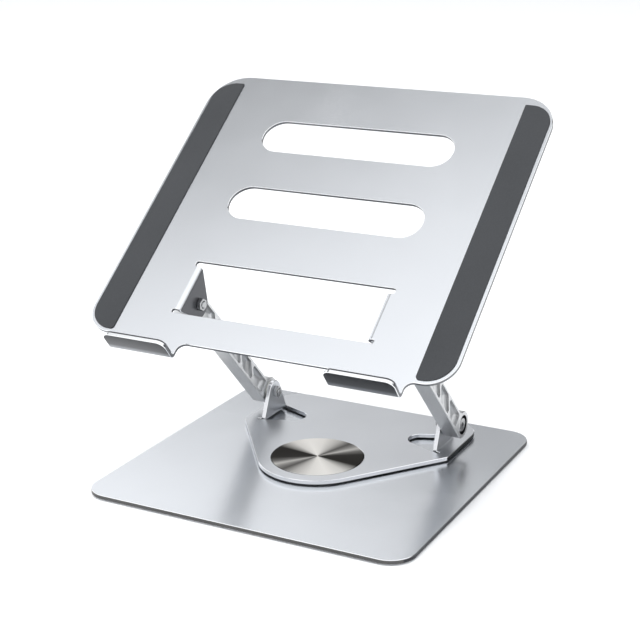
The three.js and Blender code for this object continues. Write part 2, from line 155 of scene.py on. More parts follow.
sky_mix = sky.node("ShaderNodeMix", {"data_type": "RGBA"}, {0: lift, 6: low_sky, 7: high_sky}, 2)
seen = sky.node("ShaderNodeLightPath", {}, {}, "Is Camera Ray")
shown = sky.node("ShaderNodeMix", {"data_type": "RGBA"}, {0: seen, 6: sky_mix, 7: (1, 1, 1, 1)}, 2)
sky_light = sky.tree.nodes["Background"]
sky.feed(sky_light.inputs["Color"], shown)
sky_light.inputs["Strength"].default_value = 1.0

floor_mesh = bpy.data.meshes.new("floor")
floor_mesh.from_pydata([(-30, -30, 0), (30, -30, 0), (30, 30, 0), (-30, 30, 0)], [], [(0, 1, 2, 3)])
floor = bpy.data.objects.new("floor", floor_mesh)
bpy.context.scene.collection.objects.link(floor)
floor.location.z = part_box("foot_mat")[0].z - 0.0002
paper = Finish(bpy.data.materials.new("floor_paper"))
paper_body = paper.tree.nodes["Principled BSDF"]
paper_body.inputs["Base Color"].default_value = (0.93, 0.935, 0.94, 1)
paper_body.inputs["Roughness"].default_value = 0.95
floor_mesh.materials.append(paper.owner)


# The lamp lights the paper and the pads, and the metal mirrors only the sky.
lamp_data = bpy.data.lights.new("soft_lamp", "AREA")
lamp_data.shape = "RECTANGLE"
lamp_data.size, lamp_data.size_y = 3.2, 2.6
lamp_data.energy = 55
soft_lamp = bpy.data.objects.new("soft_lamp", lamp_data)
bpy.context.scene.collection.objects.link(soft_lamp)
soft_lamp.location = (-0.3, -0.3, 2.6)
soft_lamp.visible_glossy = False

# ---- Base plate ----
# A flat sheet of aluminium, 3 mm thick, cut to a rounded rectangle and bead-blasted.
# Its rim is chamfered, with a painted highlight on the chamfer, and the cut edge below the chamfer is painted
# dark as shade, darker still on the two side edges.

MM = 0.001
CHAMFER = 0.32
BASE_CORNER = 18


def arc(x, y, radius, start, end, steps):
    angles = [start + (end - start) * i / steps for i in range(steps + 1)]
    return [(x + radius * math.cos(a), y + radius * math.sin(a)) for a in angles]


def circle(radius, steps):
    return arc(0, 0, radius, 0, 2 * math.pi, steps)[:-1]


def rectangle(low, high, corner, inset=0):
    """The rounded corners of a rectangle from low to high, drawn in by an inset."""
    left, far = low.x + inset, high.x - inset
    front, rear = low.y + inset, high.y - inset
    return [(left, front, corner), (far, front, corner), (far, rear, corner), (left, rear, corner)]


def rounded(corners, steps=12):
    """Points round a closed outline of corners (x, y, radius), each radius tangent to both its sides."""
    points = []
    for i, (x, y, radius) in enumerate(corners):
        here = Vector((x, y))
        before = (Vector(corners[i - 1][:2]) - here).normalized()
        after = (Vector(corners[(i + 1) % len(corners)][:2]) - here).normalized()
        if radius == 0:
            points.append((x, y))
            continue
        half = before.angle(after) / 2
        centre = here + (before + after).normalized() * (radius / math.sin(half))
        start = here + before * (radius / math.tan(half)) - centre
        end = here + after * (radius / math.tan(half)) - centre
        first = math.atan2(start.y, start.x)
        sweep = (math.atan2(end.y, end.x) - first + math.pi) % (2 * math.pi) - math.pi
        points += arc(centre.x, centre.y, radius, first, first + sweep, steps)
    return points


def blank(loops, thickness, chamfer=CHAMFER):
    """A flat sheet with its upper face at 0, cut to the first loop, with the other loops as holes.

    Faces are marked 0 for the broad faces, 1 for the chamfers and 2 for the cut edges."""
    curve = bpy.data.curves.new("blank", "CURVE")
    curve.dimensions = "2D"
    curve.fill_mode = "BOTH"
    curve.extrude = thickness / 2 - chamfer
    curve.bevel_depth = chamfer
    curve.bevel_resolution = 0
    curve.offset = -chamfer
    for loop in loops:
        spline = curve.splines.new("POLY")
        spline.points.add(len(loop) - 1)
        for point, (x, y) in zip(spline.points, loop):
            point.co = (x, y, 0, 1)
        spline.use_cyclic_u = True
    drawn = bpy.data.objects.new("blank", curve)
    bpy.context.scene.collection.objects.link(drawn)
    bpy.context.view_layer.update()
    flat = bpy.data.meshes.new_from_object(drawn.evaluated_get(bpy.context.evaluated_depsgraph_get()))
    bpy.data.objects.remove(drawn)
    bpy.data.curves.remove(curve)
    body = bmesh.new()
    body.from_mesh(flat)
    bpy.data.meshes.remove(flat)
    bmesh.ops.remove_doubles(body, verts=body.verts, dist=1e-4)
    bmesh.ops.dissolve_degenerate(body, edges=body.edges, dist=1e-4)
    bmesh.ops.translate(body, verts=body.verts, vec=(0, 0, -thickness / 2))
    bmesh.ops.recalc_face_normals(body, faces=body.faces)
    body.normal_update()
    for face in body.faces:
        steep = abs(face.normal.z)
        face.material_index = 0 if steep > 0.9 else 2 if steep < 0.3 else 1
    return body


def settle(body, name, finishes, place=Matrix(), sharp=28):
    """The body, drawn in millimetres, as a finished object in metres, moved by a matrix in millimetres."""
    body.transform(Matrix.Scale(MM, 4) @ place)
    if place.determinant() < 0:
        bmesh.ops.reverse_faces(body, faces=body.faces)
    mesh = bpy.data.meshes.new(name)
    body.to_mesh(mesh)
    body.free()
    for finish in finishes:
        mesh.materials.append(finish)
    mesh.shade_smooth()
    mesh.set_sharp_from_angle(angle=math.radians(sharp))
    made = bpy.data.objects.new(name, mesh)
    bpy.context.scene.collection.objects.link(made)
    return made


def metal(name, colour, shade, roughness, grain=2600, bump=0.12, cloud=0.5):
    """Blasted or cast metal: fine grain in the bump, roughness and colour, and a faint broad cloudiness."""
    finish = Finish(bpy.data.materials.new(name))
    where = finish.node("ShaderNodeTexCoord", {}, {}, "Object")
    fine = finish.node("ShaderNodeTexNoise", {}, {"Vector": where, "Scale": grain, "Detail": 3.0})
    broad = finish.node("ShaderNodeTexNoise", {}, {"Vector": where, "Scale": 14.0, "Detail": 2.0})
    blend = fine * (1 - cloud) + broad * cloud
    ramp = {"stops": [(0.3, (*shade, 1)), (0.7, (*colour, 1))]}
    body = finish.tree.nodes["Principled BSDF"]
    finish.feed(body.inputs["Base Color"], finish.node("ShaderNodeValToRGB", ramp, {0: blend}))
    finish.feed(body.inputs["Roughness"], fine * 0.1 + broad * 0.06 + (roughness - 0.08))
    body.inputs["Metallic"].default_value = 1.0
    relief = {"Strength": bump, "Distance": 0.00008, "Height": fine}
    finish.feed(body.inputs["Normal"], finish.node("ShaderNodeBump", {}, relief))
    return finish.owner


base_face = metal("base_face", (0.74, 0.76, 0.79), (0.66, 0.68, 0.71), 0.25)
# Chamfers, and the lips' top edges, are painted brighter than the faces: a painted highlight.
edge_painted_highlight = metal("edge_painted_highlight", (0.93, 0.94, 0.95), (0.86, 0.87, 0.88), 0.16, grain=900, bump=0.03)
# The cut walls are painted dark, and the side walls darker still: painted shade.
base_wall_painted_shade = metal("base_wall_painted_shade", (0.13, 0.129, 0.127), (0.085, 0.084, 0.083), 0.42, grain=1400)
deep_painted_shade = metal("deep_painted_shade", (0.06, 0.062, 0.068), (0.03, 0.031, 0.034), 0.42, grain=1400)

base_low, base_high = (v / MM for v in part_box("base_plate"))
base_corners = rectangle(base_low, base_high, BASE_CORNER)
base_blank = blank([rounded(base_corners, 24)], base_high.z - base_low.z)
# The two side walls facing X take the deeper painted shade.
for face in base_blank.faces:
    if face.material_index == 2 and abs(face.normal.x) > 0.8:
        face.material_index = 3
base_lift = Matrix.Translation((0, 0, base_high.z))
base_sheet = settle(base_blank, "base_sheet", [base_face, edge_painted_highlight, base_wall_painted_shade, deep_painted_shade], base_lift)
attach(base_sheet, "base")
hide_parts("base_plate")

# ---- Foot mat ----
# One sheet of black silicone stuck under the whole base plate, moulded with rows of low grip studs.
# The studs stand out of a shallow recess, so they reach no lower than the mat's border.

rubber = Finish(bpy.data.materials.new("foot_rubber"))
rubber_body = rubber.tree.nodes["Principled BSDF"]
rubber_where = rubber.node("ShaderNodeTexCoord", {}, {}, "Object")
rubber_grain = rubber.node("ShaderNodeTexNoise", {}, {"Vector": rubber_where, "Scale": 1800.0, "Detail": 4.0})
rubber_ramp = {"stops": [(0.3, (0.018, 0.018, 0.02, 1)), (0.7, (0.04, 0.041, 0.044, 1))]}
rubber_colour = rubber.node("ShaderNodeValToRGB", rubber_ramp, {0: rubber_grain})
rubber.feed(rubber_body.inputs["Base Color"], rubber_colour)
rubber.feed(rubber_body.inputs["Roughness"], rubber_grain * 0.2 + 0.62)
rubber_relief = {"Strength": 0.3, "Distance": 0.0001, "Height": rubber_grain}
rubber.feed(rubber_body.inputs["Normal"], rubber.node("ShaderNodeBump", {}, rubber_relief))

mat_low, mat_high = (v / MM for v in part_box("foot_mat"))
MAT = {"corner": 15, "border": 9, "inner_corner": 7, "edge": 0.1, "stud_inset": 14, "stud_drop": 0.35}
mat_outer = rectangle(mat_low, mat_high, MAT["corner"])
mat_inner = rectangle(mat_low, mat_high, MAT["inner_corner"], MAT["border"])
web_thickness = mat_high.z - mat_low.z - MAT["stud_drop"]
mat_web = blank([rounded(mat_outer, 20)], web_thickness, MAT["edge"])
bmesh.ops.translate(mat_web, verts=mat_web.verts, vec=(0, 0, mat_high.z))
foot_web = settle(mat_web, "foot_web", [rubber.owner])
mat_rim = blank([rounded(mat_outer, 20), rounded(mat_inner, 12)], MAT["stud_drop"], MAT["edge"])
bmesh.ops.translate(mat_rim, verts=mat_rim.verts, vec=(0, 0, mat_low.z + MAT["stud_drop"]))
foot_rim = settle(mat_rim, "foot_rim", [rubber.owner])

stud_tree = bpy.data.node_groups.new("grip_studs", "GeometryNodeTree")
for label, kind in (
    ("Width", "NodeSocketFloat"),
    ("Depth", "NodeSocketFloat"),
    ("Stud radius", "NodeSocketFloat"),
    ("Stud height", "NodeSocketFloat"),
    ("Columns", "NodeSocketInt"),
    ("Rows", "NodeSocketInt"),
    ("Material", "NodeSocketMaterial"),
):
    stud_tree.interface.new_socket(label, in_out="INPUT", socket_type=kind)
stud_tree.interface.new_socket("Geometry", in_out="OUTPUT", socket_type="NodeSocketGeometry")


def step(tree, kind, settings, inputs):
    """One geometry node, set up from its settings and its inputs, which are values or other sockets."""
    made = tree.nodes.new(kind)
    for name, value in settings.items():
        setattr(made, name, value)
    for name, value in inputs.items():
        if isinstance(value, bpy.types.NodeSocket):
            tree.links.new(value, made.inputs[name])
        else:
            made.inputs[name].default_value = value
    return made


def grown(tree, name, values):
    """Runs a geometry tree with the named input values, and returns the plain mesh object that it makes."""
    seed = bpy.data.objects.new(name, bpy.data.meshes.new(name))
    bpy.context.scene.collection.objects.link(seed)
    modifier = seed.modifiers.new("grow", "NODES")
    modifier.node_group = tree
    for item in tree.interface.items_tree:
        if item.in_out == "INPUT" and item.name in values:
            modifier[item.identifier] = values[item.name]
    bpy.context.view_layer.update()
    made = bpy.data.meshes.new_from_object(seed.evaluated_get(bpy.context.evaluated_depsgraph_get()))
    seed.modifiers.remove(modifier)
    seed.data = made
    made.name = name
    return seed


given = stud_tree.nodes.new("NodeGroupInput").outputs
grid = step(
    stud_tree,
    "GeometryNodeMeshGrid",
    {},
    {
        "Size X": given["Width"],
        "Size Y": given["Depth"],
        "Vertices X": given["Columns"],
        "Vertices Y": given["Rows"],
    },
)
stud = step(
    stud_tree,
    "GeometryNodeMeshCone",
    {},
    {"Vertices": 10, "Radius Top": given["Stud radius"], "Depth": given["Stud height"]},
)
wider = step(stud_tree, "ShaderNodeMath", {"operation": "MULTIPLY"}, {0: given["Stud radius"], 1: 0.75})
stud_tree.links.new(wider.outputs[0], stud.inputs["Radius Bottom"])
spread = step(
    stud_tree,
    "GeometryNodeInstanceOnPoints",
    {},
    {"Points": grid.outputs["Mesh"], "Instance": stud.outputs["Mesh"]},
)
solid_studs = step(stud_tree, "GeometryNodeRealizeInstances", {}, {"Geometry": spread.outputs[0]})
painted = step(
    stud_tree,
    "GeometryNodeSetMaterial",
    {},
    {"Geometry": solid_studs.outputs[0], "Material": given["Material"]},
)
step(stud_tree, "NodeGroupOutput", {}, {"Geometry": painted.outputs[0]})

foot_studs = grown(
    stud_tree,
    "foot_studs",
    {
        "Width": (mat_high.x - mat_low.x - 2 * MAT["stud_inset"]) * MM,
        "Depth": (mat_high.y - mat_low.y - 2 * MAT["stud_inset"]) * MM,
        "Stud radius": 1.6 * MM,
        "Stud height": MAT["stud_drop"] * MM,
        "Columns": 33,
        "Rows": 31,
        "Material": rubber.owner,
    },
)
foot_studs.data.transform(Matrix.Translation((0, 0, (mat_low.z + MAT["stud_drop"] / 2) * MM)))
for foot_piece in (foot_web, foot_rim, foot_studs):
    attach(foot_piece, "base")
    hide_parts("foot_mat")

# ---- Swivel ----
# A steel hub screwed to the base plate carries the turntable between two plain acetal rings.
# A thin retaining plate holds it down, and only the edge of the stack can be seen from outside.

turned_steel = metal("turned_steel", (0.62, 0.62, 0.63), (0.48, 0.48, 0.50), 0.27, grain=1100, bump=0.06)
acetal = Finish(bpy.data.materials.new("acetal"))
acetal_body = acetal.tree.nodes["Principled BSDF"]
acetal_where = acetal.node("ShaderNodeTexCoord", {}, {}, "Object")
acetal_grain = acetal.node("ShaderNodeTexNoise", {}, {"Vector": acetal_where, "Scale": 700.0, "Detail": 3.0})
acetal_ramp = {"stops": [(0.3, (0.70, 0.69, 0.66, 1)), (0.7, (0.80, 0.79, 0.76, 1))]}
acetal_colour = acetal.node("ShaderNodeValToRGB", acetal_ramp, {0: acetal_grain})
acetal.feed(acetal_body.inputs["Base Color"], acetal_colour)
acetal.feed(acetal_body.inputs["Roughness"], acetal_grain * 0.15 + 0.4)

hidden_steel = ["swivel_hub", "retainer_plate"] + [f"hub_screw_{i}" for i in range(1, 5)]
for names, finish in ((hidden_steel, turned_steel), (["slide_ring", "friction_ring"], acetal.owner)):
    for name in names:
        for material_slot in frame["nodes"][name].material_slots:
            material_slot.material = finish

# ---- Cap disc ----
# A thin stainless disc pressed over the hub, level with the turntable. It is faced on a lathe,
# so fine rings run round it, and bright and dark sectors round its centre are a painted reflection.

cap_low, cap_high = (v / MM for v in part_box("cap_disc"))


def lathe(profile, segments):
    """A closed turned body about Z, from (radius, height) points that start and end on the axis."""
    body = bmesh.new()
    rings = []
    for radius, height in profile:
        if radius == 0:
            rings.append([body.verts.new((0, 0, height))])
            continue
        angles = [2 * math.pi * i / segments for i in range(segments)]
        rings.append([body.verts.new((radius * math.cos(a), radius * math.sin(a), height)) for a in angles])
    for lower, upper in zip(rings, rings[1:]):
        for i in range(segments):
            j = (i + 1) % segments
            corners = [lower[k % len(lower)] for k in (i, j)] + [upper[k % len(upper)] for k in (j, i)]
            body.faces.new(list(dict.fromkeys(corners)))
    bmesh.ops.recalc_face_normals(body, faces=body.faces)
    return body


spun = Finish(bpy.data.materials.new("spun_stainless_painted_reflection"))
spun_body = spun.tree.nodes["Principled BSDF"]
spun_where = spun.node("ShaderNodeTexCoord", {}, {}, "Object")
spun_x = spun.node("ShaderNodeSeparateXYZ", {}, {0: spun_where}, "X")
spun_y = spun.node("ShaderNodeSeparateXYZ", {}, {0: spun_where}, "Y")
heading = spun_y.math("ARCTAN2", spun_y, spun_x) * (1 / (2 * math.pi)) + 0.5
# The painted reflection, one half turn of it, as shares of a whole turn: a dark sector with a light streak
# after it, then a slow rise to the brightest heading and down again. The other half repeats it.
half_turn_painted_reflection = [
    (0.0, 0.03),
    (0.085, 0.04),
    (0.12, 0.2),
    (0.1436, 0.62),
    (0.165, 0.32),
    (0.195, 0.12),
    (0.24, 0.55),
    (0.30, 0.9),
    (0.36, 1.0),
    (0.42, 0.8),
    (0.46, 0.35),
    (0.485, 0.03),
]
painted_reflection_stops = half_turn_painted_reflection + [(place + 0.5, v) for place, v in half_turn_painted_reflection]
painted_sector_reflection = {"stops": [(place, (v, v * 0.975, v * 0.93, 1)) for place, v in painted_reflection_stops]}
spun_rings = spun.node(
    "ShaderNodeTexWave",
    {"wave_type": "RINGS", "rings_direction": "Z"},
    {"Vector": spun_where, "Scale": 420.0, "Distortion": 0.4, "Detail": 2.0},
    "Fac",
)
spun.feed(spun_body.inputs["Base Color"], spun.node("ShaderNodeValToRGB", painted_sector_reflection, {0: heading}))
spun.feed(spun_body.inputs["Roughness"], spun_rings * 0.1 + 0.3)
spun_body.inputs["Metallic"].default_value = 1.0
spun_body.inputs["Specular Tint"].default_value = (0.55, 0.54, 0.53, 1)
spun_relief = {"Strength": 0.12, "Distance": 0.00005, "Height": spun_rings}
spun.feed(spun_body.inputs["Normal"], spun.node("ShaderNodeBump", {}, spun_relief))

CAP = {"chamfer": 0.25, "dish": 0.06, "gap": 0.25}
cap_radius = cap_high.x
cap_profile = [
    (0, cap_low.z),
    (cap_radius, cap_low.z),
    (cap_radius, cap_high.z - CAP["chamfer"]),
    (cap_radius - CAP["chamfer"], cap_high.z),
    (cap_radius / 2, cap_high.z - CAP["dish"] / 2),
    (0, cap_high.z - CAP["dish"]),
]
cap = settle(lathe(cap_profile, 128), "cap_plate", [spun.owner], sharp=20)
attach(cap, "base")
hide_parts("cap_disc")

# ---- Turntable ----
# One 3 mm aluminium sheet: a round nose about the hub, straight flanks and a straight back.
# Two lugs are cut free on three sides and folded up for the arms, which leaves their holes beside them.

# The thicknesses of the turntable's and the tray's sheet, and the inner radius of their bends.
TABLE = 3
SHEET = 2.5
BEND = 1
# How far a slit runs on past a fold, and how far a tab's edge may lie outside its drawn outline.
RELIEF = 2
TAB_MARGIN = 0.4
PIN_HOLE = 2.6
LUG = {"outer": 72.5, "y": 62, "z": 25, "half": 16.25, "tip": 8.3, "slit": 2.2, "gap": 1.2, "hole_tip": 10}
table_face = metal("table_face", (0.70, 0.715, 0.74), (0.62, 0.635, 0.66), 0.34)
table_edge = metal("table_edge", (0.80, 0.81, 0.83), (0.70, 0.71, 0.73), 0.24, grain=1400)


def fold(body, member, direction, line, thickness, sense, steps=10):
    """Folds by a right angle the part of a blank that lies past a line and that member(x, y) accepts.

    A narrow strip is cut off on both sides of the bend, so that the flat faces keep flat shading."""
    direction = Vector((*direction, 0))
    length = math.pi / 2 * (BEND + thickness / 2)
    for reach in [-0.3] + [length * i / steps for i in range(steps + 1)] + [length + 0.3]:
        point = direction * (line + reach)
        everything = body.verts[:] + body.edges[:] + body.faces[:]
        bmesh.ops.bisect_plane(body, geom=everything, dist=1e-5, plane_co=point, plane_no=direction)
    for vert in body.verts:
        reach = vert.co.dot(direction) - line
        if reach < 1e-4 or not member(vert.co.x, vert.co.y):
            continue
        radius = BEND - vert.co.z if sense > 0 else BEND + thickness + vert.co.z
        centre = BEND if sense > 0 else -thickness - BEND
        angle = min(reach / length, 1) * math.pi / 2
        rest = max(reach - length, 0)
        across = line + radius * math.sin(angle) - vert.co.dot(direction)
        height = centre - sense * (radius * math.cos(angle) - rest)
        vert.co = vert.co + direction * across
        vert.co.z = height


def touching(point, centre, radius, side):
    """Where the line from a point touches a circle, on the side that +1 or -1 picks."""
    line = Vector(centre) - Vector(point)
    swing = math.asin(radius / line.length) * side
    reach = math.sqrt(line.length**2 - radius**2)
    heading = math.atan2(line.y, line.x) + swing
    return point[0] + reach * math.cos(heading), point[1] + reach * math.sin(heading)


def tongue(root, half_low, half_high, middle, neck, centre, radius, steps=16):
    """A tab that grows in -X from x = root: straight to the neck, then tapering to a round tip."""
    low = (root - neck, middle - half_low)
    high = (root - neck, middle + half_high)
    a = touching(low, centre, radius, 1)
    b = touching(high, centre, radius, -1)
    start = math.atan2(a[1] - centre[1], a[0] - centre[0]) % (2 * math.pi)
    end = math.atan2(b[1] - centre[1], b[0] - centre[0]) % (2 * math.pi)
    return [(root, low[1]), low] + arc(*centre, radius, start, end, steps) + [high, (root, high[1])]


def within(loop, margin):
    """A test for points inside a loop, or up to a margin outside it."""

    def test(x, y):
        inside = False
        near = False
        for (ax, ay), (bx, by) in zip(loop, loop[1:] + loop[:1]):
            if (ay > y) != (by > y) and x < (bx - ax) * (y - ay) / (by - ay) + ax:
                inside = not inside
            run = Vector((bx - ax, by - ay))
            share = max(0, min(1, (Vector((x - ax, y - ay))).dot(run) / run.length_squared))
            near = near or (Vector((ax, ay)) + run * share - Vector((x, y))).length < margin
        return inside or near

    return test


def flip(loop):
    return [(-x, y) for x, y in reversed(loop)]


table_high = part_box("turntable")[1] / MM
table_top = 7.8
half_width = table_high.x
flank = math.radians(52.8)
nose = 42.5
shoulder = 5
rear_corner = 22
shoulder_y = (math.sin(flank) * half_width - nose) / math.cos(flank)
table_corners = [
    (half_width, shoulder_y, shoulder),
    (half_width, table_high.y, rear_corner),
    (-half_width, table_high.y, rear_corner),
    (-half_width, shoulder_y, shoulder),
    (0, -nose / math.cos(flank), nose),
]
lug_fold = LUG["outer"] + BEND
lug_neck = math.pi / 2 * (BEND + TABLE / 2)
lug_reach = lug_neck + LUG["z"] - table_top - BEND
lug_tab = tongue(
    lug_fold, LUG["half"], LUG["half"], LUG["y"], lug_neck, (lug_fold - lug_reach, LUG["y"]), LUG["tip"]
)
hole_half = LUG["half"] + LUG["slit"]
hole_reach = lug_reach + LUG["tip"] + LUG["gap"]
hole_centre = (lug_fold - hole_reach + LUG["hole_tip"], LUG["y"])
hole_tip = tongue(lug_fold, hole_half, hole_half, LUG["y"], 0, hole_centre, LUG["hole_tip"])[1:-1]
slit_half = LUG["slit"] / 2
slit_middle = hole_half - slit_half
front_end, rear_end = (
    arc(lug_fold + RELIEF - slit_half, LUG["y"] + way * slit_middle, slit_half, -math.pi / 2, math.pi / 2, 8)
    for way in (-1, 1)
)
lug_slit = lug_tab + rear_end + hole_tip[::-1] + front_end
cap_seat = circle(cap_radius + CAP["gap"], 128)
table_blank = blank([rounded(table_corners, 24), cap_seat, lug_slit, flip(lug_slit)], TABLE)
fold(table_blank, within(lug_tab, TAB_MARGIN), (-1, 0), -lug_fold, TABLE, 1)
fold(table_blank, within(flip(lug_tab), TAB_MARGIN), (1, 0), -lug_fold, TABLE, 1)
# The flank walls are painted in the deeper shade: painted shade for the dark gap under the turntable.
for face in table_blank.faces:
    on_side = abs(face.calc_center_median().x) > half_width - 1
    if face.material_index == 2 and on_side and abs(face.normal.x) > 0.9:
        face.material_index = 3


def drill(body, centre):
    """Cuts the hole for a pivot screw along X, right through both lugs or ears of a body."""
    far = 90
    cutter = lathe([(0, -far), (PIN_HOLE, -far), (PIN_HOLE, far), (0, far)], 40)
    cutter.transform(Matrix.Translation((0, *centre)) @ Matrix.Rotation(math.pi / 2, 4, "Y"))
    cut(body, [cutter])


def cut(body, cutters):
    """Takes the cutters out of a body with an exact boolean, and keeps the body's face marks."""
    scratch = []
    for part in [body, *cutters]:
        mesh = bpy.data.meshes.new("scratch")
        part.to_mesh(mesh)
        scratch.append(bpy.data.objects.new("scratch", mesh))
        bpy.context.scene.collection.objects.link(scratch[-1])
    for cutter in scratch[1:]:
        change = scratch[0].modifiers.new("cut", "BOOLEAN")
        change.operation = "DIFFERENCE"
        change.solver = "EXACT"
        change.object = cutter
    bpy.context.view_layer.update()
    result = bpy.data.meshes.new_from_object(
        scratch[0].evaluated_get(bpy.context.evaluated_depsgraph_get())
    )
    body.clear()
    body.from_mesh(result)
    for part in scratch:
        bpy.data.objects.remove(part)
    for part in cutters:
        part.free()


drill(table_blank, (LUG["y"], LUG["z"] - table_top))
turntable = settle(
    table_blank,
    "turntable_sheet",
    [table_face, edge_painted_highlight, table_edge, deep_painted_shade],
    Matrix.Translation((0, 0, table_top)),
)
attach(turntable, "turntable")
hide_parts("turntable")

# ---- Arms ----
# Two cast aluminium bars, mirror images of each other, with a round boss at each end.
# Slanting ribs between scooped pockets keep them light, and every cast edge is softly rounded.

cast_light = (0.68, 0.685, 0.69)
cast_shade = (0.56, 0.565, 0.57)
cast_skin = metal("cast_skin", cast_light, cast_shade, 0.36, grain=1500, bump=0.28, cloud=0.35)
ARM = {
    "wide": 12.6,
    "deep": 14,
    "boss": 10,
    "blend": 9,
    "rail": 1.9,
    "rib": 1.9,
    "ribs": 4,
    "slant": 13,
    "pocket": 4.4,
    "pocket_corner": 1.8,
    "pocket_bottom": 1.5,
    "edge": 0.45,
    "bore": 2.58,
    "seat": 4.2,
    "seat_radius": 7.2,
}
lower_pivot, upper_pivot = (
    Vector(next(j for j in frame["joints"] if j["name"] == name)["pos_m"]) / MM
    for name in ("arm_left", "tray_tilt")
)
arm_length = (upper_pivot - lower_pivot).length
arm_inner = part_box("arm_right")[0].x / MM
bar_angle = math.asin((ARM["deep"] - 2 * ARM["boss"]) / arm_length)


def along_bar(x, y):
    middle = arm_length / 2
    cos, sin = math.cos(bar_angle), math.sin(bar_angle)
    return middle + (x - middle) * cos - y * sin, (x - middle) * sin + y * cos


def bar_outline():
    middle = arm_length / 2
    half = ARM["deep"] / 2
    offset = ARM["boss"] - half
    far = middle + middle * math.cos(bar_angle)
    blend_y = half + ARM["blend"]
    back_off = math.sqrt((ARM["boss"] + ARM["blend"]) ** 2 - (blend_y - offset) ** 2)
    swing = math.atan2(blend_y - offset, -back_off)
    side = arc(far - back_off, blend_y, ARM["blend"], -math.pi / 2, swing - math.pi, 10)
    side += arc(far, offset, ARM["boss"], swing, -math.pi / 2, 40)
    other = [(2 * middle - x, -y) for x, y in side]
    return [along_bar(x, y) for x, y in side + other]


def pocket_outlines():
    """Pockets in a row, parted by slanting ribs. The first and last are square at the boss end."""
    edge = ARM["deep"] / 2 - ARM["rail"]
    start = ARM["boss"] + ARM["rib"]
    end = arm_length - start
    pitch = (end - start) / (ARM["ribs"] + 1)
    half = ARM["rib"] / 2 / math.sin(math.atan2(2 * edge, ARM["slant"]))
    outlines = []
    for i in range(ARM["ribs"] + 1):
        low = [start + pitch * i + half + lean * ARM["slant"] / 2 if i else start for lean in (-1, 1)]
        rib_above = start + pitch * (i + 1) - half
        high = [rib_above + lean * ARM["slant"] / 2 if i < ARM["ribs"] else end for lean in (-1, 1)]
        corners = [(low[0], edge), (low[1], -edge), (high[1], -edge), (high[0], edge)]
        outlines.append(rounded([(*along_bar(x, y), ARM["pocket_corner"]) for x, y in corners], 6)[::-1])
    return outlines


def scoop(outline, depth):
    """A cutter for one pocket, with a bottom that is rounded into its walls."""
    body = blank([outline], depth * 2, ARM["pocket_bottom"])
    bmesh.ops.bevel(
        body,
        geom=[e for e in body.edges if e.is_manifold and e.calc_face_angle() > 0.5],
        offset=0.35,
        segments=2,
        affect="EDGES",
    )
    return body


def bar(side):
    body = blank([bar_outline()], ARM["wide"], ARM["edge"])
    bmesh.ops.translate(body, verts=body.verts, vec=(0, 0, ARM["wide"]))
    cutters = []
    for level_at in (0, ARM["wide"]):
        for outline in pocket_outlines():
            cutter = scoop(outline, ARM["pocket"])
            bmesh.ops.translate(cutter, verts=cutter.verts, vec=(0, 0, level_at + ARM["pocket"]))
            cutters.append(cutter)
    for x in (0, arm_length):
        seat = ARM["wide"] - ARM["seat"]
        above_bar = ARM["wide"] + 1
        stepped = [(0, -1), (ARM["bore"], -1), (ARM["bore"], seat)]
        stepped += [(ARM["seat_radius"], seat), (ARM["seat_radius"], above_bar), (0, above_bar)]
        bore = lathe(stepped, 48)
        bmesh.ops.translate(bore, verts=bore.verts, vec=(x, 0, 0))
        cutters.append(bore)
    cut(body, cutters)
    # The screw seats take the deeper painted shade: painted shade in the recesses.
    for face in body.faces:
        middle = face.calc_center_median()
        off_axis = min(math.hypot(middle.x, middle.y), math.hypot(middle.x - arm_length, middle.y))
        in_seat = off_axis < ARM["seat_radius"] + 0.05 and 0.5 < middle.z < ARM["wide"] - 0.1
        face.material_index = 1 if in_seat else 0
    along = (upper_pivot - lower_pivot).normalized()
    across = Vector((1, 0, 0))
    front = across.cross(along)
    place = Matrix((along, front, across)).transposed().to_4x4()
    place.translation = lower_pivot + across * arm_inner
    if side < 0:
        place = Matrix.Scale(-1, 4, (1, 0, 0)) @ place
    name = "arm_bar_right" if side > 0 else "arm_bar_left"
    return settle(body, name, [cast_skin, deep_painted_shade], place, sharp=32)


for side, word in ((-1, "left"), (1, "right")):
    arm_bar = bar(side)
    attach(arm_bar, f"arm_{word}")
    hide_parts(f"arm_{word}")

# ---- Pivot hardware ----
# Each pivot is a socket-head screw through the arm and the sheet, with two disc springs under its
# head and a lock nut behind the sheet. One tree lays a whole set along its pivot.

PITCH = 0.75
SCREW = {"radius": 2.5, "lead": 0.5, "head": 5.4, "height": 2.3, "crown": 0.6, "socket": 2, "deep": 1.4}
NUT = {"corner": 4.6, "bore": 2.56, "height": 3.2, "edge": 0.3, "tail": 0.8}
SPRING = {"outer": 5.8, "inner": 2.65, "thickness": 0.7, "edge": 0.15}


def socket_screw(tip, head_seat):
    shank, rim = SCREW["radius"], SCREW["head"]
    head = head_seat + SCREW["height"]
    body = lathe(
        [
            (0, tip),
            (shank - SCREW["lead"], tip),
            (shank, tip + SCREW["lead"]),
            (shank, head_seat),
            (rim - 0.4, head_seat),
            (rim, head_seat + 0.3),
            (rim, head - SCREW["crown"]),
            (rim - SCREW["crown"], head),
            (0, head),
        ],
        48,
    )
    key = 3
    recess = blank([circle(SCREW["socket"], 6)], key, 0.1)
    bmesh.ops.translate(recess, verts=recess.verts, vec=(0, 0, head + key - SCREW["deep"]))
    cut(body, [recess])
    return body


def lock_nut(face):
    """A nut that ends at a face, and reaches below it."""
    body = blank([circle(NUT["corner"], 6), circle(NUT["bore"], 32)], NUT["height"], NUT["edge"])
    bmesh.ops.translate(body, verts=body.verts, vec=(0, 0, face))
    return body


def disc_spring():
    rings = [circle(SPRING["outer"], 48), circle(SPRING["inner"], 32)]
    return blank(rings, SPRING["thickness"], SPRING["edge"])


def hidden(body, name):
    made = settle(body, name, [turned_steel], sharp=30)
    made.hide_render = True
    made.hide_viewport = True
    return made


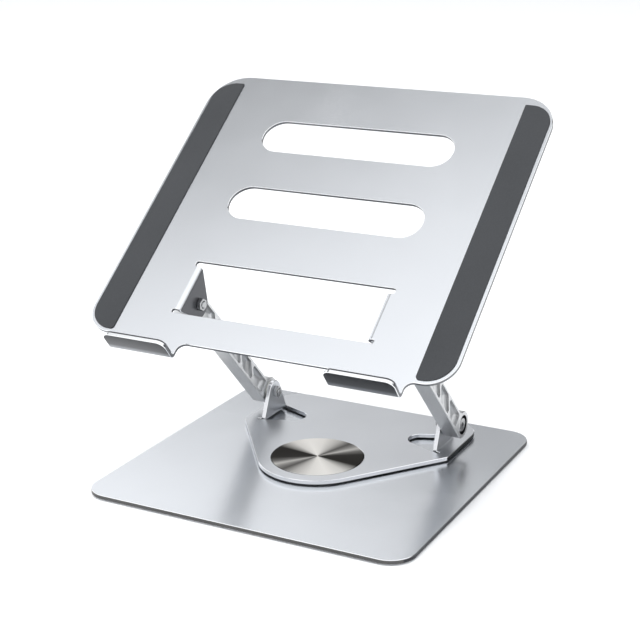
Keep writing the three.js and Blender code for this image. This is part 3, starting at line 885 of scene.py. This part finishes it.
set_tree = bpy.data.node_groups.new("pivot_set", "GeometryNodeTree")
for label, kind in (
    ("Screw", "NodeSocketObject"),
    ("Nut", "NodeSocketObject"),
    ("Spring", "NodeSocketObject"),
    ("Spring count", "NodeSocketInt"),
    ("Spring start", "NodeSocketVector"),
    ("Spring pitch", "NodeSocketVector"),
    ("Place", "NodeSocketVector"),
    ("Turn", "NodeSocketVector"),
    ("Material", "NodeSocketMaterial"),
):
    set_tree.interface.new_socket(label, in_out="INPUT", socket_type=kind)
set_tree.interface.new_socket("Geometry", in_out="OUTPUT", socket_type="NodeSocketGeometry")
given = set_tree.nodes.new("NodeGroupInput").outputs
parts = {
    what: step(set_tree, "GeometryNodeObjectInfo", {}, {"Object": given[what]}).outputs["Geometry"]
    for what in ("Screw", "Nut", "Spring")
}
stack = step(
    set_tree,
    "GeometryNodeMeshLine",
    {},
    {
        "Count": given["Spring count"],
        "Start Location": given["Spring start"],
        "Offset": given["Spring pitch"],
    },
)
springs = step(
    set_tree,
    "GeometryNodeInstanceOnPoints",
    {},
    {"Points": stack.outputs[0], "Instance": parts["Spring"]},
)
together = set_tree.nodes.new("GeometryNodeJoinGeometry")
for socket in (springs.outputs[0], parts["Nut"], parts["Screw"]):
    set_tree.links.new(socket, together.inputs[0])
laid = step(
    set_tree,
    "GeometryNodeTransform",
    {},
    {"Geometry": together.outputs[0], "Translation": given["Place"], "Rotation": given["Turn"]},
)
laid_solid = step(set_tree, "GeometryNodeRealizeInstances", {}, {"Geometry": laid.outputs[0]})
laid_painted = step(
    set_tree,
    "GeometryNodeSetMaterial",
    {},
    {"Geometry": laid_solid.outputs[0], "Material": given["Material"]},
)
step(set_tree, "NodeGroupOutput", {}, {"Geometry": laid_painted.outputs[0]})

spring_seat = arm_inner + ARM["wide"] - ARM["seat"] - LUG["outer"]
head_seat = spring_seat + 2 * PITCH + 0.05
spring_piece = hidden(disc_spring(), "disc_spring")
bright_steel = metal("bright_steel", (0.5, 0.505, 0.51), (0.34, 0.345, 0.35), 0.24, grain=1100, bump=0.05)
for height_word, pivot, thickness in (("lower", lower_pivot, TABLE), ("upper", upper_pivot, SHEET)):
    nut_face = -thickness - 0.05
    screw_tip = nut_face - NUT["height"] - NUT["tail"]
    screw_piece = hidden(socket_screw(screw_tip, head_seat), f"screw_{height_word}")
    nut_piece = hidden(lock_nut(nut_face), f"nut_{height_word}")
    for side, word in ((-1, "left"), (1, "right")):
        end = f"{height_word}_{word}"
        hardware = grown(
            set_tree,
            f"pivot_set_{end}",
            {
                "Screw": screw_piece,
                "Nut": nut_piece,
                "Spring": spring_piece,
                "Spring count": 2,
                "Spring start": (0, 0, (spring_seat + PITCH) * MM),
                "Spring pitch": (0, 0, PITCH * MM),
                "Place": tuple(Vector((side * LUG["outer"], pivot.y, pivot.z)) * MM),
                "Turn": (0, side * math.pi / 2, 0),
                "Material": bright_steel,
            },
        )
        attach(hardware, f"arm_{word}")
        replaced = ("pivot_screw", "lock_nut", "spring_washer_1", "spring_washer_2")
        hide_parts(*(f"{what}_{end}" for what in replaced))
        for material_slot in frame["nodes"][f"friction_washer_{end}"].material_slots:
            material_slot.material = acetal.owner

# ---- Tray ----
# One 2.5 mm aluminium sheet with two slots and an opening. The ears at the ends of the opening are
# folded down to the pivots, and two lips are folded up at the front to stop the laptop sliding.

tray_face = metal("tray_face", (0.85, 0.87, 0.90), (0.78, 0.80, 0.83), 0.25, grain=2200, bump=0.16)
# The ears' inner faces are painted dark: painted shade.
ear_painted_shade = metal("ear_painted_shade", (0.13, 0.132, 0.14), (0.06, 0.062, 0.067), 0.3, grain=2200, bump=0.16)
# The tray's cut walls are painted dark: painted shade.
tray_wall_painted_shade = metal("tray_wall_painted_shade", (0.20, 0.205, 0.215), (0.13, 0.135, 0.145), 0.4, grain=1400)
TILT = math.radians(37.8)
WIDE = 272.4
DEEP = 239.2
FRONT_CORNER = 20
REAR_CORNER = 28
SLOT = {"length": 149.2, "width": 29, "places": (121.5, 184.2)}
EAR = {"front": 26, "rear": 62.5, "v": 43.5, "drop": 18, "tip": 10.5, "outer": 72.5}
HOOK = {"centre": 82.3, "width": 49, "reach": 12, "height": 15.5, "corner": 6, "blend": 6}
on_tray = Matrix.Translation(upper_pivot) @ Matrix.Rotation(TILT, 4, "X")
on_tray = on_tray @ Matrix.Translation((0, -EAR["v"], EAR["drop"]))

# The outer faces of the lips are painted darker towards their upper edge: painted shade.
lip_skin = Finish(bpy.data.materials.new("lip_painted_shade"))
lip_body = lip_skin.tree.nodes["Principled BSDF"]
lip_where = lip_skin.node("ShaderNodeTexCoord", {}, {}, "Object")
lip_grain = lip_skin.node("ShaderNodeTexNoise", {}, {"Vector": lip_where, "Scale": 2200.0, "Detail": 3.0})
tray_up = on_tray.to_3x3() @ Vector((0, 0, 1))
lip_foot = on_tray.translation.dot(tray_up) * MM
lip_inputs = {0: lip_where, 1: tray_up}
lip_rise = lip_skin.node("ShaderNodeVectorMath", {"operation": "DOT_PRODUCT"}, lip_inputs, "Value")
lip_share = (lip_rise - lip_foot) * (1000 / HOOK["height"]) + lip_grain * 0.1 + 0.1
lip_shade_stops = [(0.0, 0.6), (0.2, 0.36), (0.45, 0.11), (1.0, 0.05)]
lip_shade_ramp = {"stops": [(place, (v, v * 1.02, v * 1.07, 1)) for place, v in lip_shade_stops]}
lip_skin.feed(lip_body.inputs["Base Color"], lip_skin.node("ShaderNodeValToRGB", lip_shade_ramp, {0: lip_share}))
lip_skin.feed(lip_body.inputs["Roughness"], lip_grain * 0.1 + 0.25)
lip_body.inputs["Metallic"].default_value = 1.0
lip_relief = {"Strength": 0.16, "Distance": 0.00008, "Height": lip_grain}
lip_skin.feed(lip_body.inputs["Normal"], lip_skin.node("ShaderNodeBump", {}, lip_relief))
lip_painted_shade = lip_skin.owner

sheet_neck = math.pi / 2 * (BEND + SHEET / 2)
hook_fold = -HOOK["reach"] + SHEET + BEND
hook_end = hook_fold - sheet_neck - (HOOK["height"] - BEND)
tray_corners = [(-WIDE / 2, 0, FRONT_CORNER)]
for side in (-1, 1):
    first, last = (side * HOOK["centre"] + way * HOOK["width"] / 2 for way in (-1, 1))
    tray_corners += [
        (first, 0, HOOK["blend"]),
        (first, hook_end, HOOK["corner"]),
        (last, hook_end, HOOK["corner"]),
        (last, 0, HOOK["blend"]),
    ]
tray_corners += [(WIDE / 2, 0, FRONT_CORNER), (WIDE / 2, DEEP, REAR_CORNER), (-WIDE / 2, DEEP, REAR_CORNER)]


def tray_slot(v):
    """A long slot with round ends, at a distance v from the tray's front edge."""
    radius = SLOT["width"] / 2
    reach = (SLOT["length"] - SLOT["width"]) / 2
    right_end = arc(reach, v, radius, -math.pi / 2, math.pi / 2, 24)
    return right_end + arc(-reach, v, radius, math.pi / 2, math.pi * 1.5, 24)


ear_fold = EAR["outer"] + BEND
ear_reach = sheet_neck + EAR["drop"] - SHEET - BEND
ear_tab = tongue(
    ear_fold,
    EAR["v"] - EAR["front"],
    EAR["rear"] - EAR["v"],
    EAR["v"],
    sheet_neck,
    (ear_fold - ear_reach, EAR["v"]),
    EAR["tip"],
)
ear_notch = ear_fold + RELIEF
OPENING = {"front": 22.9, "rear": 66.7}


def notch_ends(low, high, corner):
    return rounded([(0, low, 0), (ear_notch, low, corner), (ear_notch, high, corner), (0, high, 0)], 6)


front_notch = notch_ends(OPENING["front"], EAR["front"], 1.3)
rear_notch = notch_ends(EAR["rear"], OPENING["rear"], 1.7)
right_half = front_notch[1:-1] + ear_tab + rear_notch[1:-1]
opening = right_half + flip(right_half)
tray_blank = blank([rounded(tray_corners, 20), *map(tray_slot, SLOT["places"]), opening], SHEET)
# In the lips the top cut edges take the painted highlight, and the underside, which becomes the lips' outer
# faces, takes the painted shade.
for face in tray_blank.faces:
    if face.calc_center_median().y < hook_fold:
        if face.material_index == 2 and face.normal.y < -0.5:
            face.material_index = 1
        elif face.material_index == 0 and face.normal.z < 0:
            face.material_index = 3
fold(tray_blank, lambda x, y: True, (0, -1), -hook_fold, SHEET, 1)
fold(tray_blank, within(ear_tab, TAB_MARGIN), (-1, 0), -ear_fold, SHEET, -1)
fold(tray_blank, within(flip(ear_tab), TAB_MARGIN), (1, 0), -ear_fold, SHEET, -1)
tray_blank.normal_update()
# The ears' inner faces take the painted shade.
for face in tray_blank.faces:
    inward = -math.copysign(1, face.calc_center_median().x) * face.normal.x
    if face.material_index == 0 and inward > 0.95:
        face.material_index = 4
drill(tray_blank, (EAR["v"], -EAR["drop"]))
tray = settle(tray_blank, "tray_sheet", [tray_face, edge_painted_highlight, tray_wall_painted_shade, lip_painted_shade, ear_painted_shade], on_tray)
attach(tray, "tray")
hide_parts("tray")

# ---- Pads ----
# Thin dark grey silicone, die-cut and stuck down: a long pad on each side of the tray,
# and a small one on the inner face of each lip.

silicone = Finish(bpy.data.materials.new("pad_silicone"))
silicone_body = silicone.tree.nodes["Principled BSDF"]
silicone_where = silicone.node("ShaderNodeTexCoord", {}, {}, "Object")
silicone_grain, silicone_broad = (
    silicone.node("ShaderNodeTexNoise", {}, {"Vector": silicone_where, "Scale": scale, "Detail": detail})
    for scale, detail in ((1500.0, 4.0), (11.0, 2.0))
)
silicone_ramp = {"stops": [(0.3, (0.024, 0.026, 0.029, 1)), (0.7, (0.048, 0.051, 0.056, 1))]}
silicone_mix = silicone_grain * 0.6 + silicone_broad * 0.4
silicone_colour = silicone.node("ShaderNodeValToRGB", silicone_ramp, {0: silicone_mix})
silicone.feed(silicone_body.inputs["Base Color"], silicone_colour)
silicone.feed(silicone_body.inputs["Roughness"], silicone_grain * 0.2 + 0.5)
silicone_relief = {"Strength": 0.35, "Distance": 0.00012, "Height": silicone_grain}
silicone.feed(silicone_body.inputs["Normal"], silicone.node("ShaderNodeBump", {}, silicone_relief))

PAD = {
    "inset": 2.3,
    "width": 24.3,
    "front_inner": 2.5,
    "rear": 7.5,
    "rear_corner": 17,
    "rear_inner": 0.5,
    "lift": 0.05,
    "thickness": 0.8,
    "edge": 0.2,
}
LIP_PAD = {"inset": 0.8, "foot": 1.6, "foot_corner": 1, "top": 0.4, "thickness": 1, "edge": 0.25}
pad_outer = WIDE / 2 - PAD["inset"]
pad_inner = WIDE / 2 - PAD["width"]
pad_loop = rounded(
    [
        (pad_inner, PAD["inset"], PAD["front_inner"]),
        (pad_outer, PAD["inset"], FRONT_CORNER - PAD["inset"]),
        (pad_outer, DEEP - PAD["rear"], PAD["rear_corner"]),
        (pad_inner, DEEP - PAD["rear"], PAD["rear_inner"]),
    ],
    20,
)
lip_half = HOOK["width"] / 2 - LIP_PAD["inset"]
lip_left, lip_right = HOOK["centre"] - lip_half, HOOK["centre"] + lip_half
lip_top = HOOK["height"] - LIP_PAD["top"]
lip_corner = HOOK["corner"] - LIP_PAD["inset"]
lip_loop = rounded(
    [
        (lip_left, LIP_PAD["foot"], LIP_PAD["foot_corner"]),
        (lip_right, LIP_PAD["foot"], LIP_PAD["foot_corner"]),
        (lip_right, lip_top, lip_corner),
        (lip_left, lip_top, lip_corner),
    ],
    12,
)
lip_inside = -HOOK["reach"] + SHEET + PAD["lift"]
stand_up = Matrix.Translation((0, lip_inside, 0)) @ Matrix.Rotation(math.pi / 2, 4, "X")
for side, word in ((-1, "left"), (1, "right")):
    swap = Matrix.Scale(side, 4, (1, 0, 0))
    lie_down = Matrix.Translation((0, 0, PAD["lift"] + PAD["thickness"]))
    side_blank = blank([pad_loop], PAD["thickness"], PAD["edge"])
    side_pad = settle(side_blank, f"side_strip_{word}", [silicone.owner] * 3, on_tray @ swap @ lie_down)
    lip_blank = blank([lip_loop], LIP_PAD["thickness"], LIP_PAD["edge"])
    lip_pad = settle(lip_blank, f"lip_strip_{word}", [silicone.owner] * 3, on_tray @ swap @ stand_up)
    for strip, node in ((side_pad, f"side_pad_{word}"), (lip_pad, f"hook_pad_{word}")):
        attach(strip, "tray")
        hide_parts(node)
